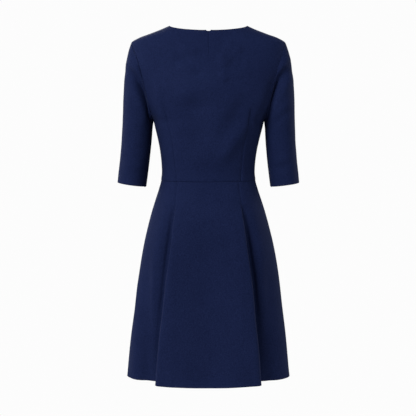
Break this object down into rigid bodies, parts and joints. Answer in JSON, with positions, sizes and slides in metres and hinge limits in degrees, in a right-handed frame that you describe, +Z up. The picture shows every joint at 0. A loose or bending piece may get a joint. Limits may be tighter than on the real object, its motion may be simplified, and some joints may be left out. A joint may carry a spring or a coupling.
{
  "type": "a-line dress",
  "caption": "A-line dress with elbow sleeves, back darts, a waist seam, two pleats front and back, and a concealed centre-back zip.",
  "frame": {"origin": "on the centre line, in the plane of the side seams, at the height of the points where the shoulder seams meet the neck edge: where the wearer's shoulders hold the dress", "axes": "+Z up, +Y towards the dress's back, so the wearer faces -Y, and +X towards the wearer's left sleeve"},
  "size_m": [0.4676, 0.278, 0.902],
  "materials": {
    "cloth": "matte, fine-textured navy knit",
    "zip": "matte navy zip tape and coil"
  },
  "bodies": {
    "root": {"bodice_back": "cloth", "bodice_front": "cloth", "sleeve_left": "cloth", "sleeve_right": "cloth", "skirt_back": "cloth", "skirt_front": "cloth", "back_zip": "zip"}
  },
  "joints": []
}
